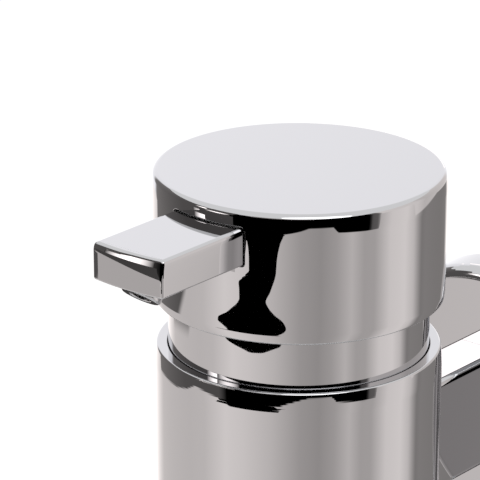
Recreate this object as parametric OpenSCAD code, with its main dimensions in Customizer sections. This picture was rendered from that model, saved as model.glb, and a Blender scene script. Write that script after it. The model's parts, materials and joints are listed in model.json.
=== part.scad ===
// Wall-mounted pump soap dispenser in polished stainless steel.
// Millimetres, +Z up. The origin is the centre of the wall face, the wall is the plane y = 0
// and the spout points away from it, along -Y.

/* [Body] */
// Outer diameter of the body
body_d = 60; // [58:0.5:66]
// Height of the body tube
body_h = 120; // [105:1:160]
// Wall of the body tube
body_wall = 1.5; // [1.2:0.1:1.8]
// Height of the turned-in lip round the mouth
lip_h = 3; // [2:0.5:5]
// Rounding of the body's outer edges
body_edge = 0.4; // [0.2:0.1:0.8]
// Height over which the body's top edge is rolled in
body_roll_h = 2.6; // [1.5:0.1:5]
// How far the body's top edge is rolled in
body_roll = 0.4; // [0.2:0.05:0.6]
// Thickness of the base plate
base_t = 1.5; // [1:0.25:3]
// How far the base plate sits inside the tube
base_recess = 1; // [0.5:0.25:3]
// Width of the ledge that the stopper rests on
ledge_w = 2; // [1.5:0.25:3]
// Thickness of that ledge
ledge_t = 1.5; // [1:0.25:3]

/* [Wall mount] */
// Distance from the body's axis to the wall
axis_to_wall = 77; // [70:1:110]
// Height of the body's top above the middle of the arm
arm_drop = 35; // [25:1:50]
// Width of the arm
arm_w = 12.8; // [10:0.2:20]
// Height of the arm
arm_h = 26.2; // [18:0.2:34]
// Rounding along the arm's edges
arm_edge = 1.6; // [0.5:0.1:3]
// Diameter of the rosette
rosette_d = 62.4; // [58:0.2:70]
// Depth of the rosette
rosette_t = 11; // [10:0.5:16]
// Rounding of the rosette's front edge
rosette_edge = 2; // [0.5:0.25:2.5]
// Side wall of the rosette
rosette_wall = 3; // [2.5:0.25:4]
// Front wall of the rosette
rosette_front = 2; // [1.5:0.25:3]
// Thickness of the fixing disc
disc_t = 6.5; // [6:0.25:7]
// Diameter of the two screw holes
screw_hole_d = 4.5; // [3.5:0.1:6]
// Distance between the two screw holes
screw_pitch = 36; // [28:1:44]
// Diameter of the grub screw
grub_d = 4; // [3:0.5:5]
// Length of the grub screw
grub_l = 5; // [4:0.5:8]
// How far the grub screw sits below the rosette's rim
grub_recess = 0.4; // [0.2:0.1:0.6]
// Key size of the grub screw
grub_key = 2; // [1.5:0.25:2.5]

/* [Pump head] */
// How far the head stands out past the collar
head_overhang = 3.1; // [2.3:0.1:5]
// Height of the head
head_h = 27.3; // [26:0.1:36]
// Skirt wall of the head
head_wall = 1.2; // [0.8:0.1:1.4]
// Top wall of the head
head_top_t = 1.5; // [1:0.1:2.5]
// Rounding of the head's top edge
head_edge = 0.8; // [0.4:0.1:1]
// How far the head's top edge is rolled in
head_roll = 0.45; // [0.3:0.05:0.6]
// Rounding of the head's lower edge
skirt_edge = 0.6; // [0.2:0.1:0.7]
// Visible collar between body and head
head_gap = 10.7; // [10:0.1:16]
// Stroke of the pump
stroke = 9.5; // [7:0.1:9.8]
// Wall of the core under the spout
core_floor = 2.3; // [1.5:0.1:3]
// Width of the core's rim round the recess in its underside
core_rim = 3; // [2:0.5:6]

/* [Spout] */
// Reach of the spout from the body's axis
spout_reach = 54; // [44:0.5:70]
// Width of the spout
spout_w = 18.1; // [15:0.1:22]
// Height of the spout
spout_h = 7.8; // [7:0.1:9]
// Top of the spout below the top of the head
spout_drop = 3.4; // [2.6:0.1:5]
// Rounding of the spout's lower edges
spout_edge = 0.5; // [0.3:0.1:1]
// Rounding of the spout's upper edges
spout_top_edge = 0.9; // [0.4:0.1:1.2]
// Height over which the top of the spout's front is rolled back
spout_roll_h = 3; // [1.5:0.1:4]
// How far the top of the spout's front is rolled back
spout_roll = 0.6; // [0.2:0.05:1]
// Distance from the axis to the spout's root inside the head
spout_root = 11; // [9:0.5:16]
// Gap round the spout in the head's window
window_gap = 0.3; // [0.2:0.05:0.6]
// Straight wall between the window and the head's rolled top edge
window_land = 0.2; // [0.1:0.05:0.5]
// Distance from the spout's tip back to the nozzle's axis, in the middle of the spout
nozzle_setback = 9.3; // [9:0.1:13]
// Slant of the nozzle, in degrees below the spout
nozzle_slant = 53; // [48:1:70]
// Outer diameter of the nozzle
nozzle_d = 8.4; // [7:0.1:9]
// Length of the nozzle below the spout, along its axis
nozzle_out = 3.8; // [3.5:0.1:6]
// Wall between the feed tube and the nozzle's seat
nozzle_land = 1.2; // [0.8:0.1:1.6]
// Rounding of the nozzle's lip
nozzle_lip = 0.6; // [0.2:0.1:0.8]
// Bore of the nozzle
outlet_d = 4.2; // [3:0.1:4.8]
// Outer diameter of the feed tube
feed_d = 5; // [4:0.1:5.4]
// Wall of the feed tube
feed_wall = 0.8; // [0.6:0.1:1]

/* [Pump unit] */
// How far the collar stands back from the body's round
collar_step = 2.7; // [2.3:0.1:4]
// Wall of the collar
collar_wall = 1; // [0.7:0.1:1.5]
// Length of the collar inside the body
collar_insert = 12; // [9:0.5:18]
// Wall and web of the stopper
stopper_wall = 2.5; // [2:0.25:4]
// Height of the stopper's seal flange
flange_h = 5.4; // [5:0.1:8]
// Section diameter of the stopper seal
seal_d = 2.4; // [1.8:0.1:2.8]
// Height of the boss on the stopper
boss_h = 4; // [3:0.5:6]
// Wall of the boss on the stopper
boss_wall = 4; // [3:0.25:5]
// Thickness of the flange gasket
gasket_t = 0.8; // [0.5:0.1:1.2]
// Flange of the pump barrel
barrel_flange_t = 1.6; // [1.2:0.1:2.5]
// Bore of the pump barrel
barrel_bore = 13; // [12:0.25:16]
// Wall of the pump barrel
barrel_wall = 1.7; // [1.2:0.1:2.5]
// Depth of the pump barrel's bore
barrel_l = 40; // [36:0.5:50]
// Floor of the pump barrel
barrel_floor = 3; // [2:0.25:4]
// Length of the socket for the dip tube
socket_l = 10; // [6:0.5:16]
// Wall of the socket for the dip tube
socket_wall = 1.6; // [1.2:0.1:2.5]
// Outer diameter of the dip tube
tube_d = 7; // [6:0.25:9]
// Wall of the dip tube
tube_wall = 1; // [0.75:0.05:1.25]
// Distance from the dip tube's end to the base plate
tube_clear = 3; // [2:0.5:8]
// Wall of the guide cap
cap_wall = 2; // [1.5:0.1:3]
// Thickness of the stem wiper
wiper_t = 1.2; // [0.8:0.1:2]

/* [Stem and piston] */
// Outer diameter of the stem
stem_d = 7; // [6.8:0.1:8]
// Bore of the stem
stem_bore = 4.4; // [4.2:0.1:4.6]
// Length of the stem inside the piston
stem_foot = 5; // [3.5:0.25:5.5]
// Height of the piston
piston_h = 7; // [7:0.25:9]
// Height of the piston seal
piston_seal_h = 2.2; // [1.5:0.1:3]
// Depth of the groove for the piston seal
piston_groove = 1; // [0.7:0.05:1.2]
// Wire diameter of the return spring
spring_wire = 1.1; // [0.8:0.05:1.3]
// Mean coil diameter of the return spring
spring_coil_d = 10; // [9.5:0.1:10.5]
// Number of curls of the return spring
spring_turns = 8; // [5:1:9]

/* [Valves] */
// Diameter of the inlet ball
inlet_ball_d = 5; // [4.6:0.1:5.4]
// Bore of the inlet valve seat
inlet_seat_d = 3.6; // [3:0.1:4]
// Lift of the inlet ball
inlet_lift = 1.5; // [0.8:0.1:2]
// Wall of the inlet cage
cage_wall = 1.6; // [1.2:0.1:2]
// Diameter of the outlet ball
outlet_ball_d = 3.6; // [3.4:0.1:3.8]
// Bore of the outlet valve seat
outlet_seat_d = 2.4; // [2:0.1:2.8]
// Thickness of the outlet valve seat
outlet_seat_t = 4; // [2:0.25:6]
// Lift of the outlet ball
outlet_lift = 1; // [0.6:0.1:2]
// Height of the outlet cage
outlet_cage_h = 3; // [2:0.25:5]
// Slots in the valve cages
cage_slots = 3; // [2:1:4]
// Width of the slots in the valve cages
slot_w = 1; // [0.8:0.1:1.2]

/* [Fits] */
// Clearance between pieces that are joined
joint_gap = 0.05; // [0.03:0.01:0.08]
// Radial clearance of the collar in the mouth
slide_gap = 0.15; // [0.1:0.01:0.2]
// Radial clearance of the piston behind its seal
piston_gap = 0.25; // [0.15:0.05:0.4]
// Radial clearance of the stem and the seals
run_gap = 0.06; // [0.03:0.01:0.08]
// Clearance left at the ends of the pump's travel
stop_gap = 0.5; // [0.3:0.1:0.8]

/* [Hidden] */
$fn = 96;
// Overrun of cuts past the faces that they open
cut = 1;

steel = "#c9c9cc";
dark_steel = "#8f9094";
white_plastic = "#e6e6e2";
clear_plastic = "#d4dce0";
rubber = "#2c2c2e";

// Heights along the body's axis
body_r = body_d / 2;
body_top = arm_drop;
body_bottom = body_top - body_h;
inner_r = body_r - body_wall;
base_z = body_bottom + base_recess;

collar_r = body_r - collar_step;
head_r = collar_r + head_overhang;
head_bottom = body_top + head_gap;
head_top = head_bottom + head_h;
head_inner_r = head_r - head_wall;
spout_top = head_top - spout_drop;
spout_bottom = spout_top - spout_h;
spout_mid = (spout_top + spout_bottom) / 2;
head_roll_h = spout_drop - window_gap - window_land;
core_bottom = spout_bottom - core_floor;
core_r = head_inner_r - joint_gap;
feed_r = feed_d / 2;

// Nozzle: the first is the distance of its axis from the body's, the others run along the nozzle's own axis
nozzle_y = spout_reach - nozzle_setback;
nozzle_start = feed_r * sin(nozzle_slant) - outlet_d / 2 * cos(nozzle_slant) + nozzle_land;
nozzle_end = spout_h / 2 / sin(nozzle_slant) + nozzle_out;

// Collar, mouth and stopper
collar_top = core_bottom - stroke - stop_gap;
collar_bottom = body_top - collar_insert;
mouth_r = collar_r + slide_gap;
mouth_top = body_top - lip_h - joint_gap;
flange_r = collar_r - joint_gap;
flange_top = collar_bottom - joint_gap;
flange_bottom = flange_top - flange_h;
stopper_r = collar_r - collar_wall - joint_gap;
web_top = body_top;
seal_r = mouth_r - joint_gap - seal_d / 2;

// Pump barrel, its seat on the stopper and the cap over it
barrel_r = barrel_bore / 2;
barrel_outer_r = barrel_r + barrel_wall;
boss_r = barrel_outer_r + joint_gap + boss_wall;
boss_top = web_top + boss_h;
gasket_z = boss_top + joint_gap;
flange_z = gasket_z + gasket_t + joint_gap;
barrel_top = flange_z + barrel_flange_t;
barrel_floor_top = barrel_top - barrel_l;
barrel_floor_bottom = barrel_floor_top - barrel_floor;
wiper_z = barrel_top + joint_gap;
cap_r = boss_r + joint_gap + cap_wall;
cap_inner_top = wiper_z + wiper_t + joint_gap;
tube_r = tube_d / 2;
socket_r = tube_r + joint_gap + socket_wall;

// Stem, piston and spring
stem_r = stem_d / 2;
piston_top = barrel_top - stop_gap;
piston_bottom = piston_top - piston_h;
piston_r = barrel_r - piston_gap;
piston_seal_z = (piston_top + piston_bottom - piston_seal_h) / 2;
stem_bottom = piston_top - stem_foot;
stem_top = spout_bottom - joint_gap;
stem_passage_r = stem_bore / 2;
outlet_seat_z = stem_bottom + outlet_seat_t;

// Valves: a ball rests on the rim of its seat
function ball_rise(ball, seat) = sqrt(pow(ball / 2, 2) - pow(seat / 2, 2));
inlet_ball_z = barrel_floor_top + ball_rise(inlet_ball_d, inlet_seat_d) + joint_gap;
cage_ceiling = inlet_ball_z + inlet_ball_d / 2 + inlet_lift + joint_gap;
cage_top = cage_ceiling + cage_wall;
outlet_ball_z = outlet_seat_z + ball_rise(outlet_ball_d, outlet_seat_d) + joint_gap;
outlet_cage_z = outlet_ball_z + outlet_ball_d / 2 + outlet_lift + joint_gap;

spring_bottom = cage_top + joint_gap;
spring_top = piston_bottom - joint_gap;

// Revolved ring between two radii and two heights
module ring(outer, inner, z0, z1) {
    rotate_extrude() translate([inner, z0]) square([outer - inner, z1 - z0]);
}

// Rectangle with round corners, centred
module round_rect(w, h, r) {
    square([w - 2 * r, h], center = true);
    square([w, h - 2 * r], center = true);
    for (x = [-1, 1], y = [-1, 1])
        translate([x * (w / 2 - r), y * (h / 2 - r)]) circle(r, $fn = 48);
}

// Sliver outside a rounding of radius r, for the corner at the origin; it points to +X and +Y
module corner(r) {
    translate([-r, -r]) difference() {
        square(r + cut);
        circle(r, $fn = 48);
    }
}

// Half section of a turned end of height h that is rolled in along one large arc, then rounded to its flat
module rolled_end(r, h, roll, edge) {
    arc_r = (h * h + roll * roll) / (2 * roll);
    lean = asin((h - edge) / (arc_r - edge));
    edge_x = r - arc_r + (arc_r - edge) * cos(lean);
    intersection() {
        translate([r - arc_r, 0]) circle(arc_r);
        square([r + cut, arc_r * sin(lean)]);
    }
    translate([edge_x, h - edge]) circle(edge, $fn = 48);
    square([edge_x, h]);
}

// Section of the spout, grown by a gap all round
module spout_section(gap) {
    w = spout_w + 2 * gap;
    h = spout_h + 2 * gap;
    difference() {
        square([w, h], center = true);
        for (side = [0, 1]) mirror([side, 0]) {
            translate([w / 2, h / 2]) corner(spout_top_edge + gap);
            translate([w / 2, -h / 2]) mirror([0, 1]) corner(spout_edge + gap);
        }
    }
}

// Places its children on the body's axis
module on_axis() {
    translate([0, -axis_to_wall, 0]) children();
}

// Places its children where the nozzle's axis crosses the middle of the spout, with +Z out of the nozzle
module at_nozzle() {
    translate([0, -nozzle_y, spout_mid]) rotate([90 + nozzle_slant, 0, 0]) children();
}

// Turns its children so that +Z becomes -Y, away from the wall
module outward() {
    rotate([90, 0, 0]) children();
}

// Slots across the ceiling of a valve cage
module cage_cuts(reach, z0, z1) {
    for (i = [0 : cage_slots - 1])
        rotate([0, 0, i * 180 / cage_slots])
            translate([-reach, -slot_w / 2, z0]) cube([2 * reach, slot_w, z1 - z0]);
}

module body_shell() {
    color(steel) on_axis() rotate_extrude() difference() {
        union() {
            translate([0, body_bottom]) square([body_r, body_h - body_roll_h]);
            translate([0, body_top - body_roll_h]) rolled_end(body_r, body_roll_h, body_roll, body_edge);
        }
        translate([0, body_bottom - cut]) square([inner_r, body_h - lip_h + cut]);
        translate([0, body_bottom]) square([mouth_r, body_h + cut]);
        translate([body_r, body_bottom]) mirror([0, 1]) corner(body_edge);
    }
}

module base_plate() {
    color(steel) on_axis() translate([0, 0, base_z])
        cylinder(r = inner_r - joint_gap, h = base_t);
}

// Lines the mouth under the lip and carries the stopper on its ledge
module mouth_ring() {
    ledge_top = flange_bottom - joint_gap;
    color(white_plastic) on_axis() {
        ring(inner_r - joint_gap, mouth_r, ledge_top - ledge_t, mouth_top);
        ring(mouth_r + joint_gap, mouth_r - ledge_w, ledge_top - ledge_t, ledge_top);
    }
}

// Bar from the rosette to the body, hollowed to the body's round
module support_arm() {
    color(steel) difference() {
        translate([0, -rosette_t - joint_gap, 0]) outward()
            linear_extrude(axis_to_wall - rosette_t - joint_gap) round_rect(arm_w, arm_h, arm_edge);
        on_axis() translate([0, 0, -arm_h]) cylinder(r = body_r + joint_gap, h = 2 * arm_h);
    }
}

// Cup over the fixing disc, open to the wall
module rosette() {
    r = rosette_d / 2;
    color(steel) difference() {
        outward() rotate_extrude() difference() {
            square([r, rosette_t]);
            translate([0, -cut]) square([r - rosette_wall, rosette_t - rosette_front + cut]);
            translate([r, rosette_t]) corner(rosette_edge);
        }
        translate([0, -disc_t / 2, -r - cut]) cylinder(d = grub_d + 2 * joint_gap, h = rosette_wall + 2 * cut);
    }
}

module fixing_disc() {
    r = rosette_d / 2 - rosette_wall - 2 * joint_gap;
    tip = rosette_d / 2 - grub_recess - grub_l - 2 * joint_gap;
    color(dark_steel) difference() {
        outward() cylinder(r = r, h = disc_t);
        for (x = [-1, 1])
            translate([x * screw_pitch / 2, cut, 0]) outward() cylinder(d = screw_hole_d, h = disc_t + 2 * cut);
        translate([0, -disc_t / 2, -r - cut]) cylinder(d = grub_d + 2 * joint_gap, h = r - tip + cut);
    }
}
// Set screw with a hexagon socket, from below
module grub_screw() {
    color(dark_steel) translate([0, -disc_t / 2, -rosette_d / 2 + grub_recess]) difference() {
        cylinder(d = grub_d, h = grub_l);
        translate([0, 0, -cut]) cylinder(d = grub_key / cos(30), h = grub_l / 2 + cut, $fn = 6);
    }
}

// Polished sleeve between body and head
module collar() {
    color(steel) on_axis() ring(collar_r, collar_r - collar_wall, collar_bottom, collar_top);
}

// Plug in the collar: seal flange, wall, web and the boss that carries the barrel
module stopper() {
    bore = barrel_outer_r + joint_gap;
    groove_r = seal_r - seal_d / 2;
    seal_z = (flange_top + flange_bottom) / 2;
    color(white_plastic) on_axis() rotate_extrude() difference() {
        union() {
            translate([stopper_r - stopper_wall, flange_bottom]) square([stopper_wall, web_top - flange_bottom]);
            translate([stopper_r - stopper_wall, flange_bottom])
                square([flange_r - stopper_r + stopper_wall, flange_h]);
            translate([bore, web_top - stopper_wall]) square([stopper_r - bore, stopper_wall]);
            translate([bore, web_top - stopper_wall]) square([boss_r - bore, stopper_wall + boss_h]);
        }
        translate([groove_r - joint_gap, seal_z - seal_d / 2 - joint_gap])
            square([flange_r - groove_r + cut, seal_d + 2 * joint_gap]);
    }
}

module stopper_seal() {
    color(rubber) on_axis() translate([0, 0, (flange_top + flange_bottom) / 2])
        rotate_extrude() translate([seal_r, 0]) circle(d = seal_d, $fn = 32);
}

// Cylinder of the pump, with the inlet seat and the socket for the dip tube
module pump_barrel() {
    socket_bottom = barrel_floor_bottom - socket_l;
    color(white_plastic) on_axis() rotate_extrude() {
        translate([barrel_r, barrel_floor_bottom]) square([barrel_wall, barrel_top - barrel_floor_bottom]);
        translate([barrel_r, flange_z]) square([boss_r - barrel_r, barrel_flange_t]);
        translate([inlet_seat_d / 2, barrel_floor_bottom])
            square([barrel_outer_r - inlet_seat_d / 2, barrel_floor]);
        translate([tube_r + joint_gap, socket_bottom]) square([socket_wall, socket_l + barrel_floor]);
    }
}

module flange_gasket() {
    color(rubber) on_axis() ring(boss_r, barrel_outer_r + joint_gap, gasket_z, gasket_z + gasket_t);
}

// Nut over the boss that clamps the barrel's flange and guides the stem
module guide_cap() {
    grip_count = 24;
    grip_r = 0.6;
    skirt_bottom = web_top + stop_gap;
    color(white_plastic) on_axis() difference() {
        rotate_extrude() {
            translate([boss_r + joint_gap, skirt_bottom]) square([cap_wall, cap_inner_top + cap_wall - skirt_bottom]);
            translate([stem_r + run_gap, cap_inner_top]) square([cap_r - stem_r - run_gap, cap_wall]);
        }
        for (i = [0 : grip_count - 1])
            rotate([0, 0, i * 360 / grip_count]) translate([cap_r + grip_r / 2, 0, skirt_bottom - cut])
                cylinder(r = grip_r, h = cap_inner_top - skirt_bottom + cut, $fn = 16);
    }
}

module stem_wiper() {
    color(rubber) on_axis() ring(barrel_r + barrel_wall, stem_r + run_gap, wiper_z, wiper_z + wiper_t);
}

// Return spring: one tube swept along a helix
spring_rings = 8;
spring_sides = 6;
spring_steps = spring_turns * spring_rings;
spring_rise = spring_top - spring_bottom - spring_wire;
function spring_centre(i) = let (a = 360 * i / spring_rings) [
    spring_coil_d / 2 * cos(a),
    spring_coil_d / 2 * sin(a),
    spring_bottom + spring_wire / 2 + spring_rise * i / spring_steps
];
function spring_point(i, j) = let (a = 360 * i / spring_rings, b = 360 * j / spring_sides, c = spring_centre(i)) [
    c[0] + spring_wire / 2 * cos(b) * cos(a),
    c[1] + spring_wire / 2 * cos(b) * sin(a),
    c[2] + spring_wire / 2 * sin(b)
];
spring_self_gap = min([
    for (i = [0 : spring_steps - 1])
        for (k = [i + spring_rings / 2 : min(spring_steps, i + 2 * spring_rings)])
            norm(spring_centre(k) - spring_centre(i))
]) - spring_wire;

module return_spring() {
    echo(spring_self_gap = spring_self_gap);
    n = spring_sides;
    points = [for (i = [0 : spring_steps]) for (j = [0 : n - 1]) spring_point(i, j)];
    walls = [
        for (i = [0 : spring_steps - 1]) for (j = [0 : n - 1])
            let (a = i * n + j, b = i * n + (j + 1) % n)
                each [[a, b, b + n], [a, b + n, a + n]]
    ];
    first = [for (j = [1 : n - 2]) [0, j + 1, j]];
    last = [for (j = [1 : n - 2]) [spring_steps * n, spring_steps * n + j, spring_steps * n + j + 1]];
    color(dark_steel) on_axis() polyhedron(points = points, faces = concat(walls, first, last));
}

// Cup upside down over the inlet ball, with slots for the flow
module inlet_cage() {
    outer = barrel_r - joint_gap;
    inner = outer - cage_wall;
    color(white_plastic) on_axis() difference() {
        translate([0, 0, barrel_floor_top + joint_gap]) cylinder(r = outer, h = cage_top - barrel_floor_top - joint_gap);
        translate([0, 0, barrel_floor_top - cut]) cylinder(r = inner, h = cage_ceiling - barrel_floor_top + cut);
        cage_cuts(inner, cage_ceiling - cut, cage_top + cut);
    }
}

// Straight suction tube with a slanted foot
module dip_tube() {
    foot = base_z + base_t + tube_clear;
    top = barrel_floor_bottom - joint_gap;
    color(clear_plastic) on_axis() difference() {
        ring(tube_r, tube_r - tube_wall, foot, top);
        translate([tube_r, 0, foot]) rotate([0, 45, 0])
            translate([-3 * tube_d, -tube_d, -2 * tube_d]) cube([3 * tube_d, 2 * tube_d, 2 * tube_d]);
    }
}

module inlet_ball() {
    color(dark_steel) on_axis() translate([0, 0, inlet_ball_z]) sphere(d = inlet_ball_d);
}

// Piston on the stem's foot, with a groove for its seal and a passage to the stem
module piston() {
    groove_r = piston_r - piston_groove;
    color(white_plastic) on_axis() rotate_extrude() difference() {
        translate([outlet_seat_d / 2, piston_bottom]) square([piston_r - outlet_seat_d / 2, piston_h]);
        translate([0, stem_bottom - run_gap]) square([stem_r + run_gap, stem_foot + run_gap + cut]);
        translate([groove_r, piston_seal_z]) square([piston_groove + cut, piston_seal_h]);
    }
}

module piston_seal() {
    groove_r = piston_r - piston_groove;
    color(rubber) on_axis()
        ring(barrel_r - run_gap, groove_r + joint_gap, piston_seal_z + joint_gap, piston_seal_z + piston_seal_h - joint_gap);
}

// Polished cup with the window for the spout
module head_shell() {
    color(steel) on_axis() difference() {
        rotate_extrude() difference() {
            union() {
                translate([0, head_bottom]) square([head_r, head_h - head_roll_h]);
                translate([0, head_top - head_roll_h]) rolled_end(head_r, head_roll_h, head_roll, head_edge);
            }
            translate([0, head_bottom - cut]) square([head_inner_r, head_h - head_top_t + cut]);
            translate([head_r, head_bottom]) mirror([0, 1]) corner(skirt_edge);
        }
        translate([0, -head_inner_r / 2, spout_mid]) outward() linear_extrude(head_r) spout_section(window_gap);
    }
}

// Moulded core that joins the shell, the spout and the stem
module head_core() {
    pocket_inner = spout_root;
    pocket_outer = core_r - core_rim;
    color(white_plastic) on_axis() difference() {
        translate([0, 0, core_bottom]) cylinder(r = core_r, h = head_top - head_top_t - joint_gap - core_bottom);
        // seat of the spout
        translate([0, -spout_root + joint_gap, spout_mid]) outward() linear_extrude(head_r) spout_section(joint_gap);
        // socket of the stem and the passage above it
        translate([0, 0, core_bottom - cut]) cylinder(r = stem_r + joint_gap, h = spout_bottom - core_bottom + cut);
        translate([0, 0, core_bottom]) cylinder(r = stem_passage_r, h = spout_mid - core_bottom);
        // seat of the feed tube
        translate([0, 0, spout_mid]) outward() cylinder(r = feed_r + joint_gap, h = spout_root + cut);
        // shallow recess that leaves a rim and a hub
        rotate_extrude() translate([pocket_inner, core_bottom - cut])
            square([pocket_outer - pocket_inner, core_floor / 2 + cut]);
    }
}

// Bar with a round front, bored for the feed tube and drilled from below at a slant for the nozzle
module spout() {
    bore_end = nozzle_y;
    color(steel) on_axis() difference() {
        intersection() {
            translate([0, -spout_root, spout_mid]) outward() linear_extrude(spout_reach) spout_section(0);
            rotate_extrude() difference() {
                union() {
                    translate([0, spout_bottom]) square([spout_reach, spout_h - spout_roll_h]);
                    translate([0, spout_top - spout_roll_h])
                        rolled_end(spout_reach, spout_roll_h, spout_roll, spout_top_edge);
                }
                translate([spout_reach, spout_bottom]) mirror([0, 1]) corner(spout_edge);
            }
        }
        translate([0, -spout_root + cut, spout_mid]) outward()
            cylinder(r = feed_r + joint_gap, h = bore_end - spout_root + cut);
        at_nozzle() translate([0, 0, nozzle_start]) cylinder(r = nozzle_d / 2 + joint_gap, h = nozzle_end);
        at_nozzle() cylinder(d = outlet_d, h = nozzle_end);
    }
}

// Tube from the stem's passage through the spout, ending over the nozzle
module feed_tube() {
    start = stem_passage_r + joint_gap;
    end = nozzle_y - outlet_d / 2;
    color(clear_plastic) on_axis() translate([0, -start, spout_mid]) outward()
        ring(feed_r, feed_r - feed_wall, 0, end - start);
}

// Round outlet that slants forward from under the spout's tip
module nozzle() {
    r = nozzle_d / 2;
    start = nozzle_start + joint_gap;
    color(steel) on_axis() at_nozzle() rotate_extrude() difference() {
        translate([outlet_d / 2, start]) square([r - outlet_d / 2, nozzle_end - start]);
        translate([r, nozzle_end]) corner(nozzle_lip);
        translate([outlet_d / 2, nozzle_end]) mirror([1, 0]) corner(nozzle_lip / 2);
    }
}

// Hollow stem with the outlet seat in its foot
module stem() {
    color(white_plastic) on_axis() rotate_extrude() {
        translate([stem_passage_r, stem_bottom]) square([stem_r - stem_passage_r, stem_top - stem_bottom]);
        translate([outlet_seat_d / 2, stem_bottom])
            square([stem_r - outlet_seat_d / 2, outlet_seat_z - stem_bottom]);
    }
}

// Plug in the stem's bore that keeps the outlet ball near its seat
module outlet_cage() {
    color(white_plastic) on_axis() difference() {
        ring(stem_passage_r - joint_gap, slot_w, outlet_cage_z, outlet_cage_z + outlet_cage_h);
        cage_cuts(stem_passage_r - joint_gap - slot_w / 2, outlet_cage_z - cut, outlet_cage_z + outlet_cage_h / 2);
    }
}

module outlet_ball() {
    color(dark_steel) on_axis() translate([0, 0, outlet_ball_z]) sphere(d = outlet_ball_d);
}

body_shell();
base_plate();
mouth_ring();
support_arm();
rosette();
fixing_disc();
grub_screw();
collar();
stopper();
stopper_seal();
pump_barrel();
flange_gasket();
guide_cap();
stem_wiper();
return_spring();
inlet_cage();
dip_tube();
inlet_ball();
piston();
piston_seal();
head_shell();
head_core();
spout();
feed_tube();
nozzle();
stem();
outlet_cage();
outlet_ball();
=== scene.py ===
"""Looks of a wall-mounted soap dispenser in mirror-polished stainless steel.

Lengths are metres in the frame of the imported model: the wall is the plane y = 0, +Z is up and the spout
points along -Y. The pieces that show are modelled again with finer rounds, and the others get their finish.
"""

import json
import logging
import math
from collections.abc import Callable
from dataclasses import dataclass
from enum import Enum
from typing import ClassVar

import bmesh
import bpy
from mathutils import Matrix, Vector
from mathutils.geometry import interpolate_bezier


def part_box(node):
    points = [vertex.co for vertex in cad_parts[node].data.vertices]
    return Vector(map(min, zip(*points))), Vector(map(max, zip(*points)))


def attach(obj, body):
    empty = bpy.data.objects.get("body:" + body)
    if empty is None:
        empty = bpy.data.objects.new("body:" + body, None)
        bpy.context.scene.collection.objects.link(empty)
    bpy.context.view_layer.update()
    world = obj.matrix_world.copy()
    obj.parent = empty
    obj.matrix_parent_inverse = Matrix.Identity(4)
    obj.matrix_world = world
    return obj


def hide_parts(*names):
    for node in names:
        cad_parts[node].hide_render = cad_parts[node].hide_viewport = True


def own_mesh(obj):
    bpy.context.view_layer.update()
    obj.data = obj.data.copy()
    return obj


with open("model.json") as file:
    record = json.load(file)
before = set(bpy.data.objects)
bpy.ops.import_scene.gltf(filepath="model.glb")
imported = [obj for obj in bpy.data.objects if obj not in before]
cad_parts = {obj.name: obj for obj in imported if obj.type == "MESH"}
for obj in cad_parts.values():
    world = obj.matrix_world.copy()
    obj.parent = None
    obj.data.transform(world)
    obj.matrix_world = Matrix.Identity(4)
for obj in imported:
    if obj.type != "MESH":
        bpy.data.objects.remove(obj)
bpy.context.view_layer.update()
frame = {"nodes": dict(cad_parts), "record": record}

LOG = logging.getLogger("soap_dispenser")
MM = 0.001
# Vertices nearer than this are one vertex
MERGE = 1e-7
# Edges sharper than this stay hard
HARD_ANGLE = math.radians(35)
# Edges at which faces meet more steeply than this are creases
CREASE_ANGLE = math.radians(50)
# A side of an outline is long from this many supports on
LONG_SIDE = 8
# Most values of a noise lie between these two
NOISE_LOW, NOISE_HIGH = 0.3, 0.7
# Sockets of a Mix node that mixes colours
MIX_FACTOR, MIX_FIRST, MIX_SECOND, MIX_RESULT = 0, 6, 7, 2


class Body(str, Enum):
    """Moving bodies that pieces ride on."""

    BODY = "body"
    PUMP = "pump_unit"
    HEAD = "head"


class Slot(str, Enum):
    """Material slots of the record."""

    POLISHED = "polished_steel"
    PLAIN = "plain_steel"
    WHITE = "white_plastic"
    CLEAR = "clear_plastic"
    RUBBER = "black_rubber"


def linear(code: str) -> tuple[float, float, float, float]:
    """Turns an sRGB hex colour to linear.

    Args:
        code: colour such as "#E3E3E5".

    Returns:
        Linear red, green and blue, and an alpha of 1.
    """
    parts = [int(code[i : i + 2], 16) / 255 for i in (1, 3, 5)]
    red, green, blue = (p / 12.92 if p <= 0.04045 else ((p + 0.055) / 1.055) ** 2.4 for p in parts)
    return red, green, blue, 1.0


def add_node(
    tree: bpy.types.NodeTree,
    kind: str,
    settings: dict | None = None,
    inputs: dict | None = None,
    stops: list[tuple[float, tuple[float, ...]]] | None = None,
) -> bpy.types.Node:
    """Adds a node with its settings and links.

    Args:
        tree: node tree that gets it.
        kind: Blender's name of the node type.
        settings: properties of the node.
        inputs: socket name or number, with a value or the socket that feeds it.
        stops: place and linear colour of each stop, for a ramp.

    Returns:
        The new node.
    """
    node = tree.nodes.new(kind)
    for name, value in (settings or {}).items():
        setattr(node, name, value)
    for name, value in (inputs or {}).items():
        if isinstance(value, bpy.types.NodeSocket):
            tree.links.new(value, node.inputs[name])
        else:
            node.inputs[name].default_value = value
    for number, (place, colour) in enumerate(stops or []):
        # A new ramp has two stops already
        elements = node.color_ramp.elements
        stop = elements[number] if number < 2 else elements.new(place)
        stop.position = place
        stop.color = colour
    return node


def empty_tree(owner: bpy.types.Material | bpy.types.World) -> bpy.types.NodeTree:
    """Gives a new material or world an empty node tree.

    Args:
        owner: the material or world.

    Returns:
        Its node tree.
    """
    owner.use_nodes = True
    owner.node_tree.nodes.clear()
    return owner.node_tree


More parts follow.
